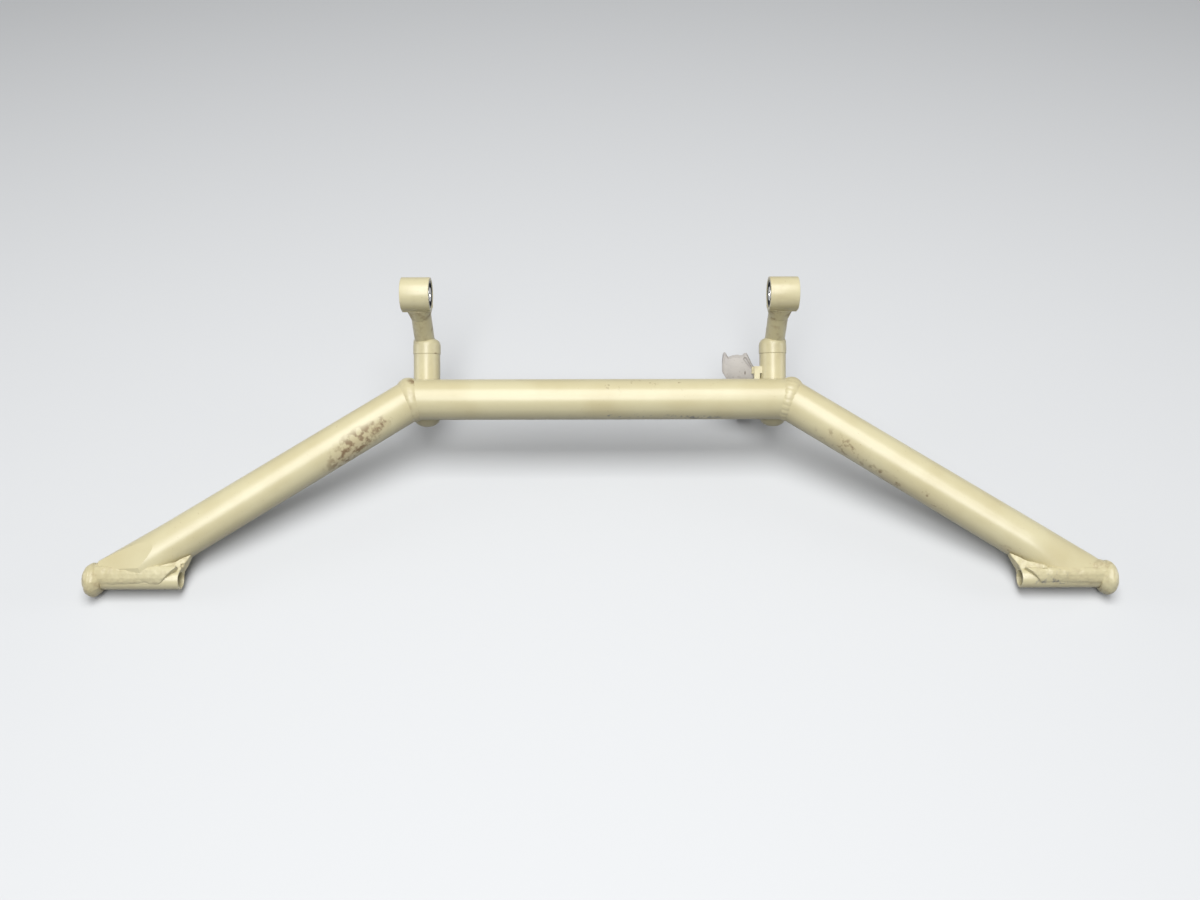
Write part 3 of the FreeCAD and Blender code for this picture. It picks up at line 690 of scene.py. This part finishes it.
# Neck welds: a bead round the foot of each neck, thick at the back where the neck leaves the cap.
weld_tilt = (sleeve_elevation + math.pi / 2) / 2
weld_way = Vector((0, math.cos(weld_tilt), math.sin(weld_tilt)))
neck_bead_outline = [
    (neck_radius - 0.001, -0.0036),
    (neck_radius + 0.0010, -0.0030),
    (neck_radius + 0.0013, -0.0012),
    (neck_radius + 0.0008, 0.0006),
    (neck_radius - 0.0002, 0.0018),
    (neck_radius - 0.001, -0.0036),
]
right_neck_bead = turned("right_neck_bead", neck_bead_outline, neck_foot, weld_way)
left_neck_bead = mirrored_copy(right_neck_bead, "left_neck_bead")
for bead in (left_neck_bead, right_neck_bead):
    melted(bead, 2)
    lumpy(bead, 0.003, 0.0006)
    side = bead.name.split("_")[0]
    bead_paint = enamel(side + "_neck_bead_enamel", stain_and_shade=0.5, roughness=0.36, lumps=0.3)
    finish(bead, bead_paint, "painted_weld", side + "_neck_weld", angle=60)

# Bosses: thick-walled bearing housings on top of the necks, turned from bar with softened edges.
boss_length = 0.0202
bore_radius = 0.009535
boss_start = Vector((boss_place.x - boss_length / 2, boss_place.y, boss_place.z))
boss_outline = [
    (boss_radius, 0),
    (boss_radius, boss_length),
    (bore_radius, boss_length),
    (bore_radius, 0),
    (boss_radius, 0),
]
right_boss = turned("right_boss_painted", boss_outline, boss_start, along_x, 128)
modify(right_boss, "BEVEL", width=0.0005, segments=4)
left_boss = mirrored_copy(right_boss, "left_boss_painted")
finish(left_boss, enamel("left_boss_enamel", stain_and_shade=0.1), "tan_paint", "left_boss")
finish(right_boss, enamel("right_boss_enamel", stain_and_shade=0.1), "tan_paint", "right_boss")

# Boss welds: a flare of weld from the neck out to the full length of the boss, brown with old
# flux and rust that has bled through the paint.
flare_rings = [
    (neck_radius - 0.0002, neck_radius - 0.0002, 0),
    (neck_radius + 0.0004, neck_radius + 0.0004, 0.0015),
    (neck_radius + 0.0012, neck_radius + 0.0010, 0.0045),
    (0.0094, 0.0090, 0.0080),
    (0.0097, 0.0096, 0.0110),
]
flare_foot = Vector((neck_side + 0.0004, boss_place.y, boss_place.z - 0.0195))
right_flare = drawn_out("right_boss_flare", flare_rings, flare_foot, Matrix.Identity(3), 96)
belly_start = boss_start + along_x * 0.0004
belly_outline = [(boss_radius + 0.0005, 0), (boss_radius + 0.0005, boss_length - 0.0008)]
belly = turned("right_boss_belly", belly_outline, belly_start, along_x)
cut_off(belly, boss_place - Vector((0, 0, 0.0080)), Vector((0, 0, 1)))
for part in (right_flare, belly):
    carve(part, turned("boss_space", [(0.0105, 0), (0.0105, 0.04)], boss_start - along_x * 0.01, along_x))
pick(right_flare)
belly.select_set(True)
bpy.ops.object.join()
left_flare = mirrored_copy(right_flare, "left_boss_flare")
for flare in (left_flare, right_flare):
    melted(flare, 4)
    lumpy(flare, 0.005, 0.0006)
    side = flare.name.split("_")[0]
    flare_paint = enamel(side + "_flare_enamel", stain_and_shade=0.8, roughness=0.4, lumps=0.4)
    finish(flare, flare_paint, "painted_weld", side + "_boss_weld", angle=60)

# Ball bearings: a ground steel ring pressed into each boss, with a dark shield at both faces, and
# a bright inner ring that turns on the balls.
shield_depth = 0.0009
bearing_half = 0.0097
outer_radius = 0.009525
race_step = 0.0081
inner_radius = 0.0049
inner_bore = 0.003175


def steel(name, colour, roughness, metallic=1.0):
    """Ground steel in the given colour, with faint turning marks and fingerprints."""
    material = bpy.data.materials.new(name)
    material.use_nodes = True
    tree = material.node_tree
    shader = tree.nodes["Principled BSDF"]
    dull = tuple(channel * 0.6 for channel in colour[:3]) + (1,)
    tree.links.new(blended(tree, clouds(tree, 0.003, 0.45, 0.75), colour, dull), shader.inputs["Base Color"])
    smear = sums(tree, "MULTIPLY", clouds(tree, 0.004, 0.3, 0.8), 0.2)
    tree.links.new(sums(tree, "ADD", smear, roughness), shader.inputs["Roughness"])
    shader.inputs["Metallic"].default_value = metallic
    return material


bright_steel = steel("bright_steel", (0.62, 0.62, 0.63, 1), 0.15)
shield_steel = steel("shield_steel", (0.045, 0.05, 0.06, 1), 0.35, 0.6)
race_outline = [
    (outer_radius, -bearing_half),
    (outer_radius, bearing_half),
    (race_step, bearing_half),
    (race_step, bearing_half - shield_depth),
    (inner_radius + 0.0002, bearing_half - shield_depth),
    (inner_radius + 0.0002, shield_depth - bearing_half),
    (race_step, shield_depth - bearing_half),
    (race_step, -bearing_half),
    (outer_radius, -bearing_half),
]
inner_outline = [
    (inner_radius, -bearing_half),
    (inner_radius, bearing_half),
    (inner_bore, bearing_half),
    (inner_bore, -bearing_half),
    (inner_radius, -bearing_half),
]
right_outer = turned("right_outer_ring", race_outline, boss_place, along_x)
right_inner = turned("right_inner_ring", inner_outline, boss_place, along_x)
modify(right_inner, "BEVEL", width=0.0003, segments=3)
left_outer = mirrored_copy(right_outer, "left_outer_ring")
left_inner = mirrored_copy(right_inner, "left_inner_ring")
for side, outer, inner in (("left", left_outer, left_inner), ("right", right_outer, right_inner)):
    finish(outer, shield_steel, "bearing_steel", side + "_outer_race")
    finish(inner, bright_steel, "bearing_steel", side + "_inner_race", body=side + "_inner_ring")
    for hidden in ("balls", "cage"):
        rolling = frame["nodes"][side + "_" + hidden]
        rolling.data.materials.clear()
        rolling.data.materials.append(bright_steel)

# Stop saddle: a curved steel shell with two small blunt ears, a thin lip down its left side and a
# groove down its right edge, under a matt grey-beige primer. It hangs beside the right sleeve and
# limits how far the frame swings.
saddle_radius = 0.0360
saddle_wall = 0.0024
saddle_centre = Vector((0, 0.1865, 0.0200))
shell_start = 0.0886
lip_start = 0.0800
shell_length = 0.045
flank_depth = 0.0014
flank_width = 0.0034
groove_depth = 0.0014
saddle_outline = [
    (0.0889, 0.0452),
    (0.0895, 0.0483),
    (0.0901, 0.0490),
    (0.0916, 0.0490),
    (0.0934, 0.0472),
    (0.0960, 0.0477),
    (0.0985, 0.0480),
    (0.1012, 0.0480),
    (0.1036, 0.0478),
    (0.1052, 0.0488),
    (0.1068, 0.0489),
    (0.1078, 0.0480),
    (0.1145, 0.0387),
    (0.1145, -0.0120),
    (0.1015, -0.0120),
    (0.1015, 0.0270),
    (0.0985, 0.0296),
    (0.0948, 0.0330),
    (0.0912, 0.0372),
    (0.0889, 0.0405),
]
left_lip = [(0.0889, 0.0390), (0.0889, 0.0500), (0.0915, 0.0500), (0.0900, 0.0460), (0.0899, 0.0390)]
right_groove = [(0.1042, 0.0474), (0.1052, 0.0484), (0.1064, 0.0480), (0.1108, 0.0428), (0.1098, 0.0420)]


def saddle_drum(name, start, outside, shoulder=0.0):
    """A round shell about the saddle's axis, with a rounded shoulder at its start where given."""
    inside = saddle_radius - saddle_wall
    rings = [(outside - shoulder, 0), (outside - shoulder * 0.4, flank_width * 0.45)]
    rings += [(outside - shoulder * 0.1, flank_width * 0.8), (outside, flank_width * 1.2)]
    rings += [(outside, shell_length), (inside, shell_length), (inside, 0), (outside - shoulder, 0)]
    return turned(name, rings, saddle_centre + along_x * start, along_x, 256)


def behind(piece, outline, operation="INTERSECT"):
    """Keeps or cuts what stands behind a flat outline."""
    front = saddle_centre.y - saddle_radius - 0.004
    corners = [Vector((across, front, height)) for across, height in outline]
    carve(piece, plate("saddle_outline", corners, Vector((0, saddle_radius, 0))), operation)
    return piece


saddle = saddle_drum("stop_saddle_painted", shell_start, saddle_radius, flank_depth)
behind(saddle, saddle_outline)
lip = behind(saddle_drum("left_lip", lip_start, saddle_radius), saddle_outline)
behind(lip, left_lip)
groove_start = saddle_centre + along_x * lip_start
groove_floor = saddle_radius - groove_depth
groove = turned("groove_room", [(0.05, 0), (0.05, 0.05)], groove_start, along_x, 256)
carve(groove, turned("kept", [(groove_floor, -0.01), (groove_floor, 0.06)], groove_start, along_x, 256))
carve(saddle, behind(groove, right_groove), "DIFFERENCE")
pick(saddle)
lip.select_set(True)
bpy.ops.object.join()
modify(saddle, "REMESH", mode="VOXEL", voxel_size=0.0003)
modify(saddle, "SMOOTH", factor=0.5, iterations=3)


def primer(name):
    """Matt grey-beige primer, thin and blotchy, with dark specks all over and one small dark nick."""
    material = bpy.data.materials.new(name)
    material.use_nodes = True
    tree = material.node_tree
    shader = tree.nodes["Principled BSDF"]
    colour = blended(tree, clouds(tree, 0.012, 0.35, 0.7), (0.44, 0.415, 0.385, 1), (0.35, 0.33, 0.315, 1))
    specks = sums(tree, "MULTIPLY", clouds(tree, 0.002, 0.62, 0.72, 5.0), 0.5)
    colour = blended(tree, specks, colour, (0.17, 0.13, 0.10, 1))
    nick_place = Vector((0.1055, 0.1565, 0.0402))
    nick = sums(tree, "MULTIPLY", spot(tree, nick_place, (0.0006, 0.0020, 0.0020)), 1.6)
    colour = blended(tree, nick, colour, (0.12, 0.10, 0.08, 1))
    tree.links.new(colour, shader.inputs["Base Color"])
    shader.inputs["Roughness"].default_value = 0.62
    relief = tree.nodes.new("ShaderNodeBump")
    relief.inputs["Strength"].default_value = 0.4
    relief.inputs["Distance"].default_value = 0.0002
    tree.links.new(clouds(tree, 0.0015, 0.0, 1.0, 5.0), relief.inputs["Height"])
    tree.links.new(relief.outputs["Normal"], shader.inputs["Normal"])
    return material


finish(saddle, primer("saddle_primer"), "grey_paint", "stop_saddle", angle=60)

# Stop arm and its weld: a short square bar from the sleeve to the saddle's right edge, with a leg
# down that edge and small beads at both ends.
arm = frame["nodes"]["stop_arm"]
arm.data.materials.clear()
arm.data.materials.append(enamel("arm_enamel", stain_and_shade=0.3))
arm_weld = frame["nodes"]["stop_arm_weld"]
arm_weld.data.materials.clear()
arm_weld.data.materials.append(enamel("arm_weld_enamel", stain_and_shade=0.6, roughness=0.4, lumps=0.5))

# Floor, light and camera: a plain pale floor, a broad lamp overhead with a softer one in front,
# and the camera above and in front of the frame.
floor_height = cad_box[0].z
bpy.ops.mesh.primitive_plane_add(size=8, location=(0, 0, floor_height - 0.0002))
floor = bpy.context.object
floor.name = "floor"
floor_paint = bpy.data.materials.new("floor_paint")
floor_paint.use_nodes = True
floor_tree = floor_paint.node_tree
floor_shader = floor_tree.nodes["Principled BSDF"]


def seen_part(tree):
    """1 for the rays that show the background to the camera, straight, mirrored or through glass."""
    ray = tree.nodes.new("ShaderNodeLightPath")
    seen = sums(tree, "ADD", ray.outputs["Is Camera Ray"], ray.outputs["Is Glossy Ray"])
    return sums(tree, "ADD", seen, ray.outputs["Is Transmission Ray"])


floor_colour = blended(floor_tree, seen_part(floor_tree), (0.16, 0.16, 0.165, 1), (0.60, 0.61, 0.62, 1))
floor_tree.links.new(floor_colour, floor_shader.inputs["Base Color"])
floor_shader.inputs["Roughness"].default_value = 0.9
floor.data.materials.append(floor_paint)


def lamp(name, place, target, size, energy):
    """A soft square lamp that faces a point."""
    light = bpy.data.lights.new(name, "AREA")
    light.shape = "SQUARE"
    light.size = size
    light.energy = energy
    holder = bpy.data.objects.new(name, light)
    bpy.context.scene.collection.objects.link(holder)
    holder.location = place
    holder.rotation_euler = (Vector(target) - Vector(place)).to_track_quat("-Z", "Y").to_euler()


lamp("ceiling_lamp", (0, -0.1, 1.7), (0, 0.08, 0), 1.1, 27)
lamp("front_lamp", (-0.1, -1.05, 1.5), (0, 0.05, 0), 0.8, 18)
lamp("left_lamp", (-1.6, 0.1, 0.5), (0, 0.05, 0), 0.7, 4)
lamp("right_lamp", (1.6, 0.1, 0.5), (0, 0.05, 0), 0.7, 4)
world = bpy.data.worlds.new("room")
world.use_nodes = True
backdrop = world.node_tree.nodes["Background"]
room_light = (0.102, 0.105, 0.11, 1)
room_colour = blended(world.node_tree, seen_part(world.node_tree), room_light, (0.32, 0.325, 0.33, 1))
world.node_tree.links.new(room_colour, backdrop.inputs["Color"])
backdrop.inputs["Strength"].default_value = 1.0
bpy.context.scene.world = world

camera_data = bpy.data.cameras.new("camera")
camera_data.sensor_width = 36.0
camera_data.lens = 33.8
camera = bpy.data.objects.new("camera", camera_data)
bpy.context.scene.collection.objects.link(camera)
camera_roll = math.radians(-0.13)
camera_pitch = math.radians(90 - 45.7)
camera_turn = Matrix.Rotation(camera_pitch, 3, "X") @ Matrix.Rotation(camera_roll, 3, "Z")
camera.rotation_euler = camera_turn.to_euler()
camera.location = (0, -0.455, 0.587)
bpy.context.scene.camera = camera
bpy.context.scene.view_settings.view_transform = "Standard"
